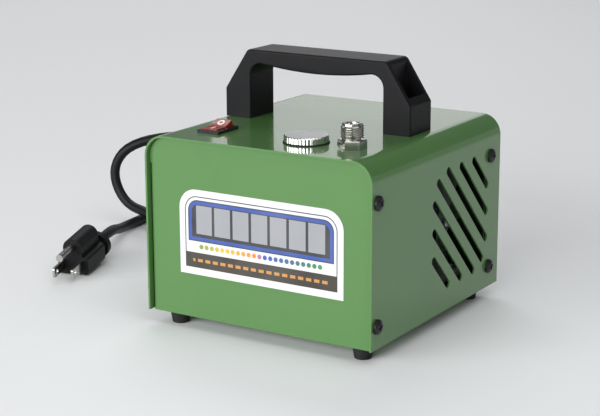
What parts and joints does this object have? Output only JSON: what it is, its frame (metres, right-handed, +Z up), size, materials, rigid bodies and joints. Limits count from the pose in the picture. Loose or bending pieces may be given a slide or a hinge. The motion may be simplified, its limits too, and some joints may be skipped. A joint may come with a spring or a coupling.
{
  "type": "diaphragm air compressor",
  "caption": "Portable oil-free diaphragm air compressor in a folded sheet-metal case with a carrying handle, rocker switch, pressure knob, threaded air outlet and a mains cord.",
  "frame": {"origin": "on the surface the feet stand on, below the centre of the compressor's box without its cord", "axes": "+Z up, +Y from the label on the front panel to the cord on the back panel, +X to the right as seen from the front, along the handle"},
  "size_m": [0.3221, 0.258, 0.1557],
  "materials": {
    "green_paint": "glossy",
    "black_texture": "fine grain",
    "rubber": "satin",
    "black_steel": "black oxide",
    "zinc": "zinc plated",
    "black_gloss": "gloss",
    "red_gloss": "gloss",
    "chrome": "polished",
    "nickel": "nickel plated",
    "brass": "machined",
    "label": "printed film",
    "core_steel": "laminated",
    "copper": "enamelled winding",
    "cast_aluminium": "die cast",
    "bright_steel": "ground",
    "grey_plastic": "moulded",
    "black_cord": "satin",
    "felt": "pressed felt"
  },
  "bodies": {
    "case": {"chassis": "green_paint", "cord_coil": "black_cord", "cord_gland": "black_cord", "cord_loop": "black_cord", "cord_tail": "black_cord", "cord_tie": "black_texture", "cover": "green_paint", "crankcase": "cast_aluminium", "crankcase_screws": "zinc", "diaphragm": "rubber", "end_bell_left": "cast_aluminium", "end_bell_right": "cast_aluminium", "feet": "rubber", "floor_nuts": "zinc", "foot_screws": "zinc", "front_label": "label", "handle": "black_texture", "handle_nuts": "zinc", "handle_screws": "zinc", "handle_washers": "zinc", "head_elbow": "brass", "head_gasket": "rubber", "head_screws": "zinc", "intake_filter": "felt", "knob_gasket": "rubber", "motor_base": "cast_aluminium", "motor_bolts": "zinc", "motor_mounts": "rubber", "motor_nuts": "zinc", "mount_screws": "zinc", "outlet_elbow": "brass", "outlet_fitting": "nickel", "outlet_nut": "nickel", "outlet_pipe": "grey_plastic", "plug_blades": "nickel", "plug_body": "black_cord", "pump_head": "cast_aluminium", "pump_pipe": "grey_plastic", "reed_valves": "bright_steel", "rocker_pin": "red_gloss", "shaft_bushes": "brass", "side_screws": "black_steel", "stator_coils": "copper", "stator_core": "core_steel", "switch_housing": "black_gloss", "switch_terminals": "brass", "valve_body": "brass", "valve_plate": "cast_aluminium", "wires": "black_cord"},
    "rotor": {"motor_shaft": "bright_steel", "rotor_core": "core_steel", "cooling_fan": "grey_plastic", "eccentric": "cast_aluminium"},
    "rod": {"rod_bearing": "bright_steel", "connecting_rod": "cast_aluminium", "diaphragm_clamp": "bright_steel", "clamp_screw": "zinc"},
    "rocker": {"switch_rocker": "red_gloss"},
    "knob": {"pressure_knob": "chrome", "valve_stem": "brass"}
  },
  "joints": [
    {"name": "rotor_spin", "type": "hinge", "parent": "case", "child": "rotor", "pos_m": [-0.031, 0.027, 0.0585], "axis": [1, 0, 0], "continuous": true},
    {"name": "rod_orbit", "type": "hinge", "parent": "rotor", "child": "rod", "pos_m": [-0.031, 0.029, 0.0585], "axis": [1, 0, 0], "continuous": true, "deforming": ["diaphragm"]},
    {"name": "rocker_tilt", "type": "hinge", "parent": "case", "child": "rocker", "pos_m": [-0.0443, -0.0491, 0.115], "axis": [-1, 0, 0], "range_deg": [0, 24]},
    {"name": "knob_turn", "type": "hinge", "parent": "case", "child": "knob", "pos_m": [0.0168, -0.0509, 0.117], "axis": [0, 0, 1], "range_deg": [0, 270]}
  ],
  "couplings": [
    {"joint": "rod_orbit", "follows": "rotor_spin", "ratio": -1}
  ]
}
